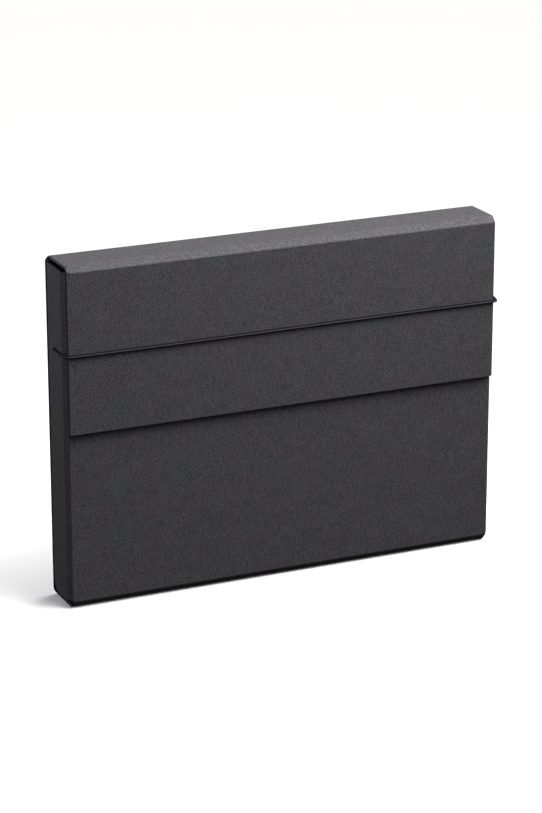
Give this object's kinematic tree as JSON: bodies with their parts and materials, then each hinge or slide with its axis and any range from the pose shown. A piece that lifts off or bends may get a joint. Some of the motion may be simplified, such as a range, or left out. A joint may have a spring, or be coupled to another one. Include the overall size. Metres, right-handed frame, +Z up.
{
  "type": "archival box",
  "caption": "Flat folded-board document box standing on its long edge, with a lid hinged at the back, a front flap and an elastic cord round the front.",
  "frame": {"origin": "on the floor, at the middle of the whole object's width and depth, cord included", "axes": "+X to the right along the long side, -Y out of the front where the flap hangs, +Z up"},
  "size_m": [0.335, 0.0386, 0.2475],
  "materials": {
    "board": "dark charcoal with a fine linen emboss, matt",
    "elastic": "round braided elastic, black",
    "steel": "plain bright"
  },
  "bodies": {
    "case": {"back_panel": "board", "bottom_panel": "board", "front_panel": "board", "front_bottom_strip": "board", "left_front_strip": "board", "right_front_strip": "board", "left_wall": "board", "right_wall": "board", "left_glue_tab": "board", "right_glue_tab": "board", "cord_left_run": "elastic", "cord_right_run": "elastic", "left_cord_bar": "steel", "right_cord_bar": "steel"},
    "lid": {"lid_top": "board"},
    "lid_strip": {"lid_front_strip": "board"},
    "flap": {"lid_flap": "board"},
    "cord": {"cord_front_run": "elastic"}
  },
  "joints": [
    {"name": "lid_hinge", "type": "hinge", "parent": "case", "child": "lid", "pos_m": [0, 0.01935, 0.2475], "axis": [-1, 0, 0], "range_deg": [0, 170]},
    {"name": "strip_crease", "type": "hinge", "parent": "lid", "child": "lid_strip", "pos_m": [0, -0.01285, 0.2475], "axis": [-1, 0, 0], "range_deg": [0, 45]},
    {"name": "flap_crease", "type": "hinge", "parent": "lid_strip", "child": "flap", "pos_m": [0, -0.01685, 0.2435], "axis": [-1, 0, 0], "range_deg": [0, 45]},
    {"name": "cord_pull", "type": "slide", "parent": "case", "child": "cord", "axis": [0, -1, 0], "range_m": [0, 0.03], "stiffness_N_per_m": 80, "deforming": ["cord_front_run", "cord_left_run", "cord_right_run"]}
  ],
  "couplings": [
    {"joint": "flap_crease", "follows": "strip_crease", "ratio": 1}
  ]
}
